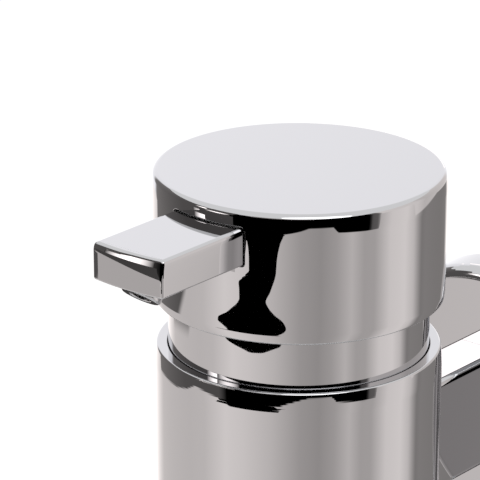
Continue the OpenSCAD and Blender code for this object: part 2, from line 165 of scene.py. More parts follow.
@dataclass(frozen=True)
class Finish:
    """Finish of a surface: its values, and the pattern that a subclass adds."""

    name: str
    slot: Slot
    colour: str
    metallic: float
    roughness: float
    ior: float = 1.5

    def material(self) -> bpy.types.Material:
        """Makes the material once.

        Returns:
            The material of this finish.
        """
        made = bpy.data.materials.get(self.name)
        if made is not None:
            return made
        made = bpy.data.materials.new(self.name)
        tree = empty_tree(made)
        shader = add_node(
            tree,
            "ShaderNodeBsdfPrincipled",
            inputs={
                "Base Color": linear(self.colour),
                "Metallic": self.metallic,
                "Roughness": self.roughness,
                "IOR": self.ior,
            },
        )
        add_node(tree, "ShaderNodeOutputMaterial", inputs={"Surface": shader.outputs["BSDF"]})
        place = add_node(tree, "ShaderNodeTexCoord").outputs["Object"]
        self.detail(tree, shader, place)
        return made

    def detail(self, tree: bpy.types.NodeTree, shader: bpy.types.Node, place: bpy.types.NodeSocket) -> None:
        """Adds the pattern of the surface.

        Args:
            tree: node tree of the material.
            shader: its Principled BSDF.
            place: Object coordinates.
        """
        raise NotImplementedError


@dataclass(frozen=True)
class PolishedSteel(Finish):
    """Stainless steel, buffed to a mirror: faint waves of the sheet and a trace of haze from the polish.

    The haze of a real polish is finer than a pixel, so it is drawn about a millimetre wide.
    """

    wave_width: float = 26 * MM
    wave_depth: float = 0.02 * MM
    haze_width: float = 1.4 * MM
    haze: tuple[float, float] = (0.005, 0.014)

    def detail(self, tree: bpy.types.NodeTree, shader: bpy.types.Node, place: bpy.types.NodeSocket) -> None:
        """Adds waves and haze.

        Args:
            tree: node tree of the material.
            shader: its Principled BSDF.
            place: Object coordinates.
        """
        haze = add_node(
            tree,
            "ShaderNodeTexNoise",
            inputs={"Vector": place, "Scale": 1 / self.haze_width, "Detail": 4.0},
        )
        rough = add_node(
            tree,
            "ShaderNodeMapRange",
            inputs={
                "Value": haze.outputs["Fac"],
                "From Min": NOISE_LOW,
                "From Max": NOISE_HIGH,
                "To Min": self.haze[0],
                "To Max": self.haze[1],
            },
        )
        tree.links.new(rough.outputs["Result"], shader.inputs["Roughness"])
        wave = add_node(
            tree,
            "ShaderNodeTexNoise",
            inputs={"Vector": place, "Scale": 1 / self.wave_width, "Detail": 1.0, "Roughness": 0.35},
        )
        bump = add_node(
            tree,
            "ShaderNodeBump",
            inputs={"Strength": 1.0, "Distance": self.wave_depth, "Height": wave.outputs["Fac"]},
        )
        tree.links.new(bump.outputs["Normal"], shader.inputs["Normal"])


@dataclass(frozen=True)
class GrainedFinish(Finish):
    """A surface with a fine grain: tone, gloss and height vary with one noise.

    Real grain of this kind is 0.05 to 0.2 mm wide, too fine to show, so it is drawn 0.5 to 0.8 mm wide.
    """

    second: str = "#FFFFFF"
    grain: float = 0.5 * MM
    depth: float = 0.01 * MM
    stretch: tuple[float, float, float] = (1.0, 1.0, 1.0)
    gloss: tuple[float, float] = (0.3, 0.45)

    def detail(self, tree: bpy.types.NodeTree, shader: bpy.types.Node, place: bpy.types.NodeSocket) -> None:
        """Adds grain to tone, gloss and height.

        Args:
            tree: node tree of the material.
            shader: its Principled BSDF.
            place: Object coordinates.
        """
        drawn = add_node(tree, "ShaderNodeMapping", inputs={"Vector": place, "Scale": self.stretch})
        noise = add_node(
            tree,
            "ShaderNodeTexNoise",
            inputs={"Vector": drawn.outputs["Vector"], "Scale": 1 / self.grain, "Detail": 3.0},
        )
        tone = add_node(
            tree,
            "ShaderNodeMix",
            settings={"data_type": "RGBA"},
            inputs={
                MIX_FACTOR: noise.outputs["Fac"],
                MIX_FIRST: linear(self.colour),
                MIX_SECOND: linear(self.second),
            },
        )
        tree.links.new(tone.outputs[MIX_RESULT], shader.inputs["Base Color"])
        rough = add_node(
            tree,
            "ShaderNodeMapRange",
            inputs={
                "Value": noise.outputs["Fac"],
                "From Min": NOISE_LOW,
                "From Max": NOISE_HIGH,
                "To Min": self.gloss[0],
                "To Max": self.gloss[1],
            },
        )
        tree.links.new(rough.outputs["Result"], shader.inputs["Roughness"])
        bump = add_node(
            tree,
            "ShaderNodeBump",
            inputs={"Strength": 1.0, "Distance": self.depth, "Height": noise.outputs["Fac"]},
        )
        tree.links.new(bump.outputs["Normal"], shader.inputs["Normal"])


# Buffed stainless sheet: a cool, nearly colourless mirror
MIRROR_STEEL = PolishedSteel("mirror_polished_stainless_steel", Slot.POLISHED, "#C8C8CA", 1.0, 0.01)
# Lathe-turned stainless steel: fine lines round the piece, a soft sheen
TURNED_STEEL = GrainedFinish(
    "turned_stainless_steel", Slot.PLAIN, "#B4B5B8", 1.0, 0.3, second="#C8C9CB", grain=0.6 * MM,
    depth=0.004 * MM, stretch=(0.3, 0.3, 3.0), gloss=(0.22, 0.36),
)
# Injection-moulded polypropylene: warm white, a satin skin with a fine mould grain
MOULDED_PP = GrainedFinish(
    "moulded_polypropylene", Slot.WHITE, "#E4E3DE", 0.0, 0.42, ior=1.49, second="#ECEBE7", grain=0.8 * MM,
    depth=0.008 * MM, gloss=(0.36, 0.5),
)
# Extruded polyethylene tube: milky, with faint lines along its length
EXTRUDED_PE = GrainedFinish(
    "extruded_polyethylene", Slot.CLEAR, "#D5DCDF", 0.0, 0.3, ior=1.51, second="#E3E8EA", grain=0.7 * MM,
    depth=0.005 * MM, stretch=(1.0, 1.0, 0.05), gloss=(0.24, 0.36),
)
# Moulded nitrile rubber: black with a matt bloom
NITRILE = GrainedFinish(
    "moulded_nitrile_rubber", Slot.RUBBER, "#1B1B1D", 0.0, 0.7, ior=1.52, second="#262628", grain=0.5 * MM,
    depth=0.01 * MM, gloss=(0.6, 0.8),
)
FINISHES = {f.slot.value: f for f in (MIRROR_STEEL, TURNED_STEEL, MOULDED_PP, EXTRUDED_PE, NITRILE)}


def loose_object(bm: bmesh.types.BMesh, name: str) -> bpy.types.Object:
    """Turns a bmesh into an object of the scene and frees it.

    Args:
        bm: the shape.
        name: name of object and mesh.

    Returns:
        The new object, at the origin.
    """
    mesh = bpy.data.meshes.new(name)
    bm.to_mesh(mesh)
    bm.free()
    made = bpy.data.objects.new(name, mesh)
    bpy.context.scene.collection.objects.link(made)
    return made


def baked(block: bpy.types.Object) -> bmesh.types.BMesh:
    """Takes the shape of an object with its modifiers, and removes the object.

    Args:
        block: the object.

    Returns:
        Its shape.
    """
    graph = bpy.context.evaluated_depsgraph_get()
    mesh = bpy.data.meshes.new_from_object(block.evaluated_get(graph))
    bm = bmesh.new()
    bm.from_mesh(mesh)
    for used in (mesh, block.data):
        bpy.data.meshes.remove(used)
    return bm


def carve(bm: bmesh.types.BMesh, tool: bmesh.types.BMesh) -> bmesh.types.BMesh:
    """Cuts one shape out of another.

    Args:
        bm: shape that is cut; it is freed.
        tool: shape that is taken away; it is freed.

    Returns:
        What is left of the first shape.
    """
    block, cutter = loose_object(bm, "block"), loose_object(tool, "cutter")
    cut = block.modifiers.new("cut", "BOOLEAN")
    cut.operation, cut.solver, cut.object = "DIFFERENCE", "EXACT", cutter
    left = baked(block)
    bpy.data.meshes.remove(cutter.data)
    return left


def soften(
    bm: bmesh.types.BMesh, width_of: Callable[[bmesh.types.BMEdge], float], segments: int
) -> bmesh.types.BMesh:
    """Rounds edges, each by its own width.

    Args:
        bm: the shape; it is freed.
        width_of: gives the width of an edge's round, 0 for none.
        segments: faces across a round.

    Returns:
        The rounded shape.
    """
    weight = bm.edges.layers.float.new("bevel_weight_edge")
    widths = {edge: width_of(edge) for edge in bm.edges}
    widest = max(widths.values())
    for edge, width in widths.items():
        edge[weight] = width / widest
    block = loose_object(bm, "block")
    bevel = block.modifiers.new("soften", "BEVEL")
    bevel.limit_method, bevel.width, bevel.segments = "WEIGHT", widest, segments
    bevel.profile, bevel.use_clamp_overlap = 0.5, False
    return baked(block)


def bevel_edges(
    bm: bmesh.types.BMesh, test: Callable[[bmesh.types.BMEdge], bool], width: float, segments: int
) -> None:
    """Rounds the edges that pass a test.

    Args:
        bm: the shape.
        test: says whether an edge is rounded.
        width: size of the round.
        segments: faces across it.
    """
    bmesh.ops.bevel(
        bm,
        geom=[e for e in bm.edges if test(e)],
        offset=width,
        offset_type="OFFSET",
        segments=segments,
        profile=0.5,
        affect="EDGES",
        clamp_overlap=True,
        material=-1,
    )


def box_between(low: Vector, high: Vector) -> bmesh.types.BMesh:
    """Makes a box between two corners.

    Args:
        low: corner with the smallest coordinates.
        high: corner with the largest.

    Returns:
        The box.
    """
    bm = bmesh.new()
    bmesh.ops.create_cube(bm, size=1.0)
    bmesh.ops.scale(bm, vec=high - low, verts=bm.verts[:])
    bmesh.ops.translate(bm, vec=(low + high) / 2, verts=bm.verts[:])
    return bm


def is_crease(edge: bmesh.types.BMEdge) -> bool:
    """Tells whether two faces meet in this edge at a clear angle."""
    return edge.is_manifold and edge.calc_face_angle(0.0) > CREASE_ANGLE


def place_piece(
    bm: bmesh.types.BMesh, name: str, finish: Finish, body: Body, nodes: tuple[str, ...], even: bool = False
) -> bpy.types.Object:
    """Puts a shape into the scene as a piece of the dispenser.

    Args:
        bm: the shape; it is freed.
        name: name of the piece.
        finish: finish of its surface.
        body: body that it moves with.
        nodes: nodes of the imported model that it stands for.
        even: weights the normals by face area, for flat faces with narrow rounds.

    Returns:
        The piece.
    """
    piece = loose_object(bm, name)
    piece.data.materials.append(finish.material())
    piece.data.shade_smooth()
    piece.data.set_sharp_from_angle(angle=HARD_ANGLE)
    if even:
        weighted = piece.modifiers.new("even_normals", "WEIGHTED_NORMAL")
        weighted.keep_sharp = True
    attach(piece, body.value)
    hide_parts(*nodes)
    LOG.info("%s stands for %s and rides on %s", name, ", ".join(nodes), body.value)
    return piece


@dataclass(frozen=True)
class Corner:
    """Corner of an outline: distance from the axis, height, and how much its round takes of each side."""

    r: float
    z: float
    round: float = 0.0


@dataclass(frozen=True)
class RolledEdge:
    """Rolled-in edge of a turned piece: a wide arc leads from the wall to a small round at the end."""

    height: float
    roll: float
    arc: float
    edge: float

    def corners(self, outer: float, end: float, side: int) -> tuple[Corner, Corner]:
        """Gives the corners of the arc and of the small round.

        Args:
            outer: radius of the wall.
            end: height at which the wall ends.
            side: 1 for an upper edge, -1 for a lower one.

        Returns:
            Both corners, from the wall to the end.
        """
        return Corner(outer, end - side * self.height, self.arc), Corner(outer - self.roll, end, self.edge)


@dataclass(frozen=True)
class Turned:
    """Closed outline that is turned about an axis.

    The axis points up, and a lean in degrees tips it to the spout's side: at 90 it points along -Y.
    """

    corners: tuple[Corner, ...]
    centre: Vector
    lean: float = 0.0
    steps: int = 192
    segments: int = 6
    support: float = 0.04 * MM

    def mesh(self) -> bmesh.types.BMesh:
        """Draws the outline, rounds its corners and turns it.

        Returns:
            The closed shape.
        """
        bm = bmesh.new()
        verts = [bm.verts.new((c.r, 0.0, c.z)) for c in self.corners]
        for start, end in zip(verts, verts[1:] + verts[:1]):
            if max(start.co.x, end.co.x) > MERGE:
                bm.edges.new((start, end))
        for vert, corner in zip(verts, self.corners):
            if corner.round > 0:
                bmesh.ops.bevel(
                    bm,
                    geom=[vert],
                    offset=corner.round,
                    offset_type="OFFSET",
                    segments=self.segments,
                    profile=0.5,
                    affect="VERTICES",
                    material=-1,
                )
        self.hold_flats(bm)
        bmesh.ops.spin(
            bm,
            geom=bm.verts[:] + bm.edges[:],
            cent=(0, 0, 0),
            axis=(0, 0, 1),
            angle=2 * math.pi,
            steps=self.steps,
            use_merge=True,
        )
        bmesh.ops.remove_doubles(bm, verts=bm.verts[:], dist=MERGE)
        bmesh.ops.recalc_face_normals(bm, faces=bm.faces[:])
        turn = Matrix.Rotation(math.radians(self.lean), 4, "X")
        bmesh.ops.transform(bm, matrix=Matrix.Translation(self.centre) @ turn, verts=bm.verts[:])
        return bm

    def hold_flats(self, bm: bmesh.types.BMesh) -> None:
        """Splits long sides close to their ends, so that the rounds don't shade into them.

        Args:
            bm: the outline.
        """
        shortest = LONG_SIDE * self.support
        for edge in [e for e in bm.edges if e.calc_length() > shortest]:
            start = edge.verts[0]
            new_edge, _ = bmesh.utils.edge_split(edge, start, self.support / edge.calc_length())
            rest = edge if new_edge.calc_length() < edge.calc_length() else new_edge
            far = next(v for v in rest.verts if (v.co - start.co).length > shortest / 2)
            bmesh.utils.edge_split(rest, far, self.support / rest.calc_length())


def radius_of(node: str) -> float:
    """Gives the radius of a round node from its box."""
    low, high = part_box(node)
    return (high.x - low.x) / 2


def heights_of(node: str) -> tuple[float, float]:
    """Gives the lowest and highest z of a node."""
    low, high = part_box(node)
    return low.z, high.z


def body_axis() -> Vector:
    """Gives the foot of the body's axis, at z = 0."""
    low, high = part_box("body_shell")
    return Vector(((low.x + high.x) / 2, (low.y + high.y) / 2, 0.0))


@dataclass
class Reservoir:
    """Body tube with its lip, base and mouth liner."""

    wall: float = 1.5 * MM
    lip_height: float = 3 * MM
    mouth_gap: float = 0.15 * MM
    top_edge: RolledEdge = RolledEdge(2.8 * MM, 0.34 * MM, 2.0 * MM, 0.42 * MM)
    foot_edge: float = 0.35 * MM
    mouth_edge: float = 0.2 * MM
    base_edge: float = 0.3 * MM
    ledge_width: float = 2 * MM
    ledge_height: float = 1.5 * MM
    ledge_edge: float = 0.3 * MM
    steps: int = 256
    segments: int = 10

    def build(self) -> None:
        """Makes the three pieces."""
        axis = body_axis()
        outer, (bottom, top) = radius_of("body_shell"), heights_of("body_shell")
        inner, mouth = outer - self.wall, radius_of("collar") + self.mouth_gap
        tube = Turned(
            (
                Corner(outer, bottom, self.foot_edge),
                *self.top_edge.corners(outer, top, 1),
                Corner(mouth, top, self.mouth_edge),
                Corner(mouth, top - self.lip_height),
                Corner(inner, top - self.lip_height),
                Corner(inner, bottom, self.mouth_edge),
            ),
            axis,
            steps=self.steps,
            segments=self.segments,
        )
        place_piece(tube.mesh(), "body_tube", MIRROR_STEEL, Body.BODY, ("body_shell",))

        rim, (low, high) = radius_of("base_plate"), heights_of("base_plate")
        base = Turned(
            (Corner(0, high), Corner(rim, high), Corner(rim, low, self.base_edge), Corner(0, low)), axis
        )
        place_piece(base.mesh(), "base_disc", MIRROR_STEEL, Body.BODY, ("base_plate",))

        rim, (low, high) = radius_of("mouth_ring"), heights_of("mouth_ring")
        liner = Turned(
            (
                Corner(rim, low, self.ledge_edge),
                Corner(rim, high),
                Corner(mouth, high, self.mouth_edge),
                Corner(mouth, low + self.ledge_height, self.mouth_edge),
                Corner(mouth - self.ledge_width, low + self.ledge_height, self.ledge_edge),
                Corner(mouth - self.ledge_width, low, self.ledge_edge),
            ),
            axis,
        )
        place_piece(liner.mesh(), "mouth_liner", MOULDED_PP, Body.BODY, ("mouth_ring",))


@dataclass
class WallMount:
    """Arm and rosette."""

    arm_edge: float = 1.6 * MM
    weld_gap: float = 0.05 * MM
    rosette_wall: float = 3 * MM
    rosette_front: float = 2 * MM
    rosette_edge: float = 2.8 * MM
    back_edge: float = 0.3 * MM
    drill_margin: float = 1 * MM
    steps: int = 256
    segments: int = 12
    arm_segments: int = 6
    hole_steps: int = 48

    def build(self) -> None:
        """Makes both pieces."""
        self.build_arm()
        self.build_rosette()

    def build_arm(self) -> None:
        """Makes the bar and hollows its end to the body's round."""
        low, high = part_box("support_arm")
        axis, outer = body_axis(), radius_of("body_shell")
        bar = box_between(Vector((low.x, axis.y, low.z)), high)
        bevel_edges(
            bar, lambda e: abs(e.verts[0].co.y - e.verts[1].co.y) > outer, self.arm_edge, self.arm_segments
        )
        hollow, top, bottom = outer + self.weld_gap, 2 * high.z, 2 * low.z
        round_body = Turned(
            (Corner(0, top), Corner(hollow, top), Corner(hollow, bottom), Corner(0, bottom)),
            axis,
            steps=self.steps,
        )
        left = carve(bar, round_body.mesh())
        place_piece(left, "arm_bar", MIRROR_STEEL, Body.BODY, ("support_arm",), even=True)

    def build_rosette(self) -> None:
        """Makes the cup and drills it for the grub screw."""
        low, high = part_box("rosette")
        outer, depth = (high.x - low.x) / 2, high.y - low.y
        inner = outer - self.rosette_wall
        cup = Turned(
            (
                Corner(0, depth),
                Corner(outer, depth, self.rosette_edge),
                Corner(outer, 0, self.back_edge),
                Corner(inner, 0),
                Corner(inner, depth - self.rosette_front),
                Corner(0, depth - self.rosette_front),
            ),
            Vector((0, high.y, 0)),
            lean=90,
            steps=self.steps,
            segments=self.segments,
        )
        screw_low, screw_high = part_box("grub_screw")
        hole = (screw_high.x - screw_low.x) / 2 + self.weld_gap
        centre = (screw_low + screw_high) / 2
        top, bottom = -inner + self.drill_margin, -outer - self.drill_margin
        drill = Turned(
            (Corner(0, top), Corner(hole, top), Corner(hole, bottom), Corner(0, bottom)),
            Vector((centre.x, centre.y, 0)),
            steps=self.hole_steps,
        )
        place_piece(carve(cup.mesh(), drill.mesh()), "rosette_cup", MIRROR_STEEL, Body.BODY, ("rosette",))


@dataclass
class PumpUnit:
    """Collar and moulded pump that lift out for refilling."""

    collar_wall: float = 1 * MM
    collar_edge: float = 0.3 * MM
    stopper_wall: float = 2.5 * MM
    flange_height: float = 5.4 * MM
    seal_section: float = 2.4 * MM
    joint_gap: float = 0.05 * MM
    boss_height: float = 4 * MM
    boss_wall: float = 4 * MM
    barrel_wall: float = 1.7 * MM
    barrel_flange: float = 1.6 * MM
    barrel_floor: float = 3 * MM
    barrel_depth: float = 40 * MM
    seat_radius: float = 1.8 * MM
    socket_wall: float = 1.6 * MM
    tube_wall: float = 1 * MM
    mould_edge: float = 0.3 * MM
    spring_turns: int = 8
    turn_steps: int = 32
    wire: float = 1.1 * MM
    wire_sides: int = 10
    collar_steps: int = 256
    barrel_steps: int = 128
    tube_steps: int = 96

    def build(self) -> None:
        """Makes the pieces of the pump."""
        self.build_collar()
        self.build_stopper()
        self.build_barrel()
        self.build_tube()
        self.build_spring()

    def build_collar(self) -> None:
        """Makes the polished sleeve."""
        axis = body_axis()
        outer, (low, high) = radius_of("collar"), heights_of("collar")
        inner = outer - self.collar_wall
        sleeve = Turned(
            (Corner(outer, low, self.collar_edge), Corner(outer, high, self.collar_edge),
             Corner(inner, high, self.collar_edge), Corner(inner, low, self.collar_edge)),
            axis,
            steps=self.collar_steps,
        )
        place_piece(sleeve.mesh(), "collar_sleeve", MIRROR_STEEL, Body.PUMP, ("collar",))

    def build_stopper(self) -> None:
        """Makes the plug and its seal."""
        axis = body_axis()
        flange, (low, high) = radius_of("stopper"), heights_of("stopper")
        outer = radius_of("collar") - self.collar_wall - self.joint_gap
        inner, web = outer - self.stopper_wall, high - self.boss_height
        boss = radius_of("pump_barrel")
        bore = boss - self.boss_wall
        seal_low, seal_high = heights_of("stopper_seal")
        groove = radius_of("stopper_seal") - self.seal_section - self.joint_gap
        soft = self.mould_edge
        plug = Turned(
            (
                Corner(inner, low, soft),
                Corner(flange, low, soft),
                Corner(flange, seal_low - self.joint_gap, soft / 2),
                Corner(groove, seal_low - self.joint_gap, soft / 2),
                Corner(groove, seal_high + self.joint_gap, soft / 2),
                Corner(flange, seal_high + self.joint_gap, soft / 2),
                Corner(flange, low + self.flange_height, soft),
                Corner(outer, low + self.flange_height, soft),
                Corner(outer, web, soft),
                Corner(boss, web, soft),
                Corner(boss, high, soft),
                Corner(bore, high, soft),
                Corner(bore, web - self.stopper_wall, soft),
                Corner(inner, web - self.stopper_wall, 2 * soft),
            ),
            axis,
        )
        place_piece(plug.mesh(), "stopper_plug", MOULDED_PP, Body.PUMP, ("stopper",))

        ring, half = radius_of("stopper_seal"), self.seal_section / 2
        o_ring = Turned(
            (Corner(ring - 2 * half, seal_low, half), Corner(ring, seal_low, half),
             Corner(ring, seal_high, half), Corner(ring - 2 * half, seal_high, half)),
            axis,
        )
        place_piece(o_ring.mesh(), "stopper_o_ring", NITRILE, Body.PUMP, ("stopper_seal",))

    def build_barrel(self) -> None:
        """Makes the pump's cylinder with the socket of the tube."""
        axis = body_axis()
        flange, (low, high) = radius_of("pump_barrel"), heights_of("pump_barrel")
        outer = flange - self.boss_wall - self.joint_gap
        bore, floor = outer - self.barrel_wall, high - self.barrel_depth
        socket_bore = radius_of("dip_tube") + self.joint_gap
        socket, soft = socket_bore + self.socket_wall, self.mould_edge
        cylinder = Turned(
            (
                Corner(socket_bore, low, soft / 2),
                Corner(socket, low, soft),
                Corner(socket, floor - self.barrel_floor, soft),
                Corner(outer, floor - self.barrel_floor, 2 * soft),
                Corner(outer, high - self.barrel_flange, soft),
                Corner(flange, high - self.barrel_flange, soft),
                Corner(flange, high, soft),
                Corner(bore, high, soft),
                Corner(bore, floor, soft),
                Corner(self.seat_radius, floor, soft / 2),
                Corner(self.seat_radius, floor - self.barrel_floor, soft / 2),
                Corner(socket_bore, floor - self.barrel_floor, soft / 2),
            ),
            axis,
            steps=self.barrel_steps,
        )
        place_piece(cylinder.mesh(), "pump_cylinder", MOULDED_PP, Body.PUMP, ("pump_barrel",))

    def build_tube(self) -> None:
        """Makes the suction tube and slants its foot."""
        axis = body_axis()
        outer, (low, high) = radius_of("dip_tube"), heights_of("dip_tube")
        inner = outer - self.tube_wall
        tube = Turned(
            (Corner(outer, low), Corner(outer, high), Corner(inner, high), Corner(inner, low)),
            axis,
            steps=self.tube_steps,
        ).mesh()
        side = Vector((1, 0, 1)).normalized()
        cut = bmesh.ops.bisect_plane(
            tube,
            geom=tube.verts[:] + tube.edges[:] + tube.faces[:],
            plane_co=axis + Vector((outer, 0, low)),
            plane_no=side,
            clear_inner=True,
        )
        rim = [e for e in cut["geom_cut"] if isinstance(e, bmesh.types.BMEdge)]
        bmesh.ops.bridge_loops(tube, edges=rim)
        bmesh.ops.recalc_face_normals(tube, faces=tube.faces[:])
        place_piece(tube, "suction_tube", EXTRUDED_PE, Body.PUMP, ("dip_tube",))

    def build_spring(self) -> None:
        """Winds the return spring."""
        axis = body_axis()
        outer, (low, high) = radius_of("return_spring"), heights_of("return_spring")
        half, steps = self.wire / 2, self.turn_steps * self.spring_turns
        bm = bmesh.new()
        bmesh.ops.create_circle(bm, segments=self.wire_sides, radius=half, cap_ends=True)
        stand = Matrix.Translation((outer - half, 0, low + half)) @ Matrix.Rotation(math.pi / 2, 4, "X")
        bmesh.ops.transform(bm, matrix=stand, verts=bm.verts[:])
        bmesh.ops.spin(
            bm,
            geom=bm.verts[:] + bm.edges[:] + bm.faces[:],
            cent=(0, 0, 0),
            axis=(0, 0, 1),
            dvec=(0, 0, (high - low - self.wire) / steps),
            angle=2 * math.pi * self.spring_turns,
            steps=steps,
        )
        bmesh.ops.recalc_face_normals(bm, faces=bm.faces[:])
        bmesh.ops.translate(bm, vec=axis, verts=bm.verts[:])
        spring = place_piece(bm, "coil_spring", TURNED_STEEL, Body.PUMP, ("return_spring",))
        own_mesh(spring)


@dataclass
class PumpHead:
    """Polished cup, flat spout and slanted nozzle."""

    skirt_wall: float = 1.2 * MM
    top_wall: float = 1.5 * MM
    top_edge: RolledEdge = RolledEdge(2.6 * MM, 0.31 * MM, 1.5 * MM, 1.1 * MM)
    skirt_edge: RolledEdge = RolledEdge(1.2 * MM, 0.22 * MM, 0.75 * MM, 0.4 * MM)
    inner_edge: float = 0.3 * MM
    window_gap: float = 0.3 * MM
    window_edge: float = 0.12 * MM
    spout_front_edge: float = 0.6 * MM
    spout_top_edge: float = 0.9 * MM
    spout_side_edge: float = 0.5 * MM
    spout_low_edge: float = 0.45 * MM
    front_roll_height: float = 3 * MM
    front_roll: float = 0.6 * MM
    front_skew: float = 0.4
    # The roll ends this many rounds of the top edge under the top
    roll_end: float = 1.2
    # Edges beyond this share of the reach belong to the front
    front_share: float = 0.9
    nozzle_slant: float = 53.0
    nozzle_lip: float = 0.6 * MM
    outlet_radius: float = 2.1 * MM
    # Vertices this near to a wall lie on it
    wall_reach: float = 0.05 * MM
    front_reach: float = 0.01 * MM
    cup_steps: int = 320
    cup_segments: int = 12
    round_segments: int = 6
    window_segments: int = 2
    roll_steps: int = 6
    arc_steps: int = 24
    nozzle_steps: int = 96

    def build(self) -> None:
        """Makes the three pieces."""
        self.build_cup()
        self.build_spout()
        self.build_nozzle()

    def build_cup(self) -> None:
        """Makes the cup and cuts the window for the spout."""
        axis = body_axis()
        outer, (bottom, top) = radius_of("head_shell"), heights_of("head_shell")
        inner = outer - self.skirt_wall
        wall_top, rim = self.top_edge.corners(outer, top, 1)
        wall_foot, foot = self.skirt_edge.corners(outer, bottom, -1)
        cup = Turned(
            (
                Corner(0, top),
                rim,
                wall_top,
                wall_foot,
                foot,
                Corner(inner, bottom, self.inner_edge),
                Corner(inner, top - self.top_wall),
                Corner(0, top - self.top_wall),
            ),
            axis,
            steps=self.cup_steps,
            segments=self.cup_segments,
        )
        low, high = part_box("spout")
        gap, middle = self.window_gap, (low.z + high.z) / 2
        tool = box_between(
            Vector((low.x - gap, axis.y - 1.5 * outer, low.z - gap)),
            Vector((high.x + gap, axis.y - 0.5 * outer, high.z + gap)),
        )

        def window_round(edge: bmesh.types.BMEdge) -> float:
            """Gives the round of an edge of the tool.

            Args:
                edge: the edge.

            Returns:
                Width of its round, 0 unless it runs through the wall.
            """
            first, second = (v.co for v in edge.verts)
            if abs(first.y - second.y) < outer / 2:
                return 0.0
            return gap + (self.spout_top_edge if first.z > middle else self.spout_low_edge)

        left = carve(cup.mesh(), soften(tool, window_round, self.round_segments))

        def on_rim(edge: bmesh.types.BMEdge) -> bool:
            """Tests an edge of the cup.

            Args:
                edge: the edge.

            Returns:
                Whether it lies on the outer rim of the window.
            """
            return is_crease(edge) and all(
                abs((v.co - axis).xy.length - outer) < self.wall_reach
                and v.co.y < axis.y
                and low.z - 2 * gap < v.co.z < high.z + 2 * gap
                for v in edge.verts
            )

        bevel_edges(left, on_rim, self.window_edge, self.window_segments)
        place_piece(left, "head_cup", MIRROR_STEEL, Body.HEAD, ("head_shell",), even=True)

    def build_spout(self) -> None:
        """Makes the bar with its round front."""
        axis = body_axis()
        low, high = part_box("spout")
        half, reach = (high.x - low.x) / 2, axis.y - low.y
        sweep = 2 * math.asin(half / reach)
        bm = bmesh.new()
        first = bm.verts.new((half, axis.y - math.sqrt(reach**2 - half**2), low.z))
        bmesh.ops.spin(
            bm,
            geom=[first],
            cent=(axis.x, axis.y, low.z),
            axis=(0, 0, 1),
            angle=-sweep,
            steps=self.arc_steps,
        )
        ends = [bm.verts.new((x, high.y, low.z)) for x in (half, -half)]
        bm.verts.ensure_lookup_table()
        tips = sorted((v for v in bm.verts if len(v.link_edges) == 1), key=lambda v: -v.co.x)
        for pair in ((tips[0], ends[0]), ends, (ends[1], tips[1])):
            bm.edges.new(pair)
        floor = bmesh.ops.contextual_create(bm, geom=bm.edges[:])["faces"]
        raised = bmesh.ops.extrude_face_region(bm, geom=floor, use_keep_orig=True)["geom"]
        bmesh.ops.translate(
            bm, vec=(0, 0, high.z - low.z), verts=[g for g in raised if isinstance(g, bmesh.types.BMVert)]
        )
        bmesh.ops.recalc_face_normals(bm, faces=bm.faces[:])
        self.roll_front(bm, reach, high.z)
        middle, front = (low.z + high.z) / 2, axis.y - self.front_share * reach

        def spout_round(edge: bmesh.types.BMEdge) -> float:
            """Gives the round of an edge of the bar.

            Args:
                edge: the edge.

            Returns:
                Width of its round, 0 unless it is a crease.
            """
            first, second = (v.co for v in edge.verts)
            if not is_crease(edge):
                return 0.0
            if abs(first.z - second.z) > MERGE:
                return self.spout_side_edge
            if first.z < middle:
                return self.spout_low_edge
            return self.spout_front_edge if max(first.y, second.y) < front else self.spout_top_edge

        bar = soften(bm, spout_round, self.round_segments)
        place_piece(bar, "spout_bar", MIRROR_STEEL, Body.HEAD, ("spout",), even=True)

    def roll_front(self, bm: bmesh.types.BMesh, reach: float, top: float) -> None:
        """Rolls the upper part of the spout's front back along a wide arc.

        Args:
            bm: the bar.
            reach: distance of the front from the axis.
            top: height of the bar's top.
        """
        axis, half = body_axis(), max(vert.co.x for vert in bm.verts)
        last = 1 - self.roll_end * self.spout_top_edge / self.front_roll_height
        for step in range(self.roll_steps):
            left = self.front_roll_height * (1 - last * step / (self.roll_steps - 1))
            bmesh.ops.bisect_plane(
                bm,
                geom=bm.verts[:] + bm.edges[:] + bm.faces[:],
                plane_co=(0, 0, top - left),
                plane_no=(left * self.front_skew / half, 0, 1),
            )
        for vert in bm.verts:
            away = (vert.co - axis).xy
            depth = self.front_roll_height * (1 + self.front_skew * vert.co.x / half)
            rise = 1 - (top - vert.co.z) / depth
            if rise > 0 and abs(away.length - reach) < self.front_reach:
                vert.co.xy -= away.normalized() * self.front_roll * rise**2

    def build_nozzle(self) -> None:
        """Makes the outlet that slants forward from under the tip."""
        low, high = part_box("nozzle")
        outer, slant = (high.x - low.x) / 2, math.radians(self.nozzle_slant)
        half = (high.y - low.y - 2 * outer * math.sin(slant)) / math.cos(slant) / 2
        nozzle = Turned(
            (
                Corner(self.outlet_radius, half, self.nozzle_lip / 2),
                Corner(outer, half, self.nozzle_lip),
                Corner(outer, -half),
                Corner(self.outlet_radius, -half),
            ),
            (low + high) / 2,
            lean=90 + self.nozzle_slant,
            steps=self.nozzle_steps,
        )
        place_piece(nozzle.mesh(), "outlet_nozzle", MIRROR_STEEL, Body.HEAD, ("nozzle",))


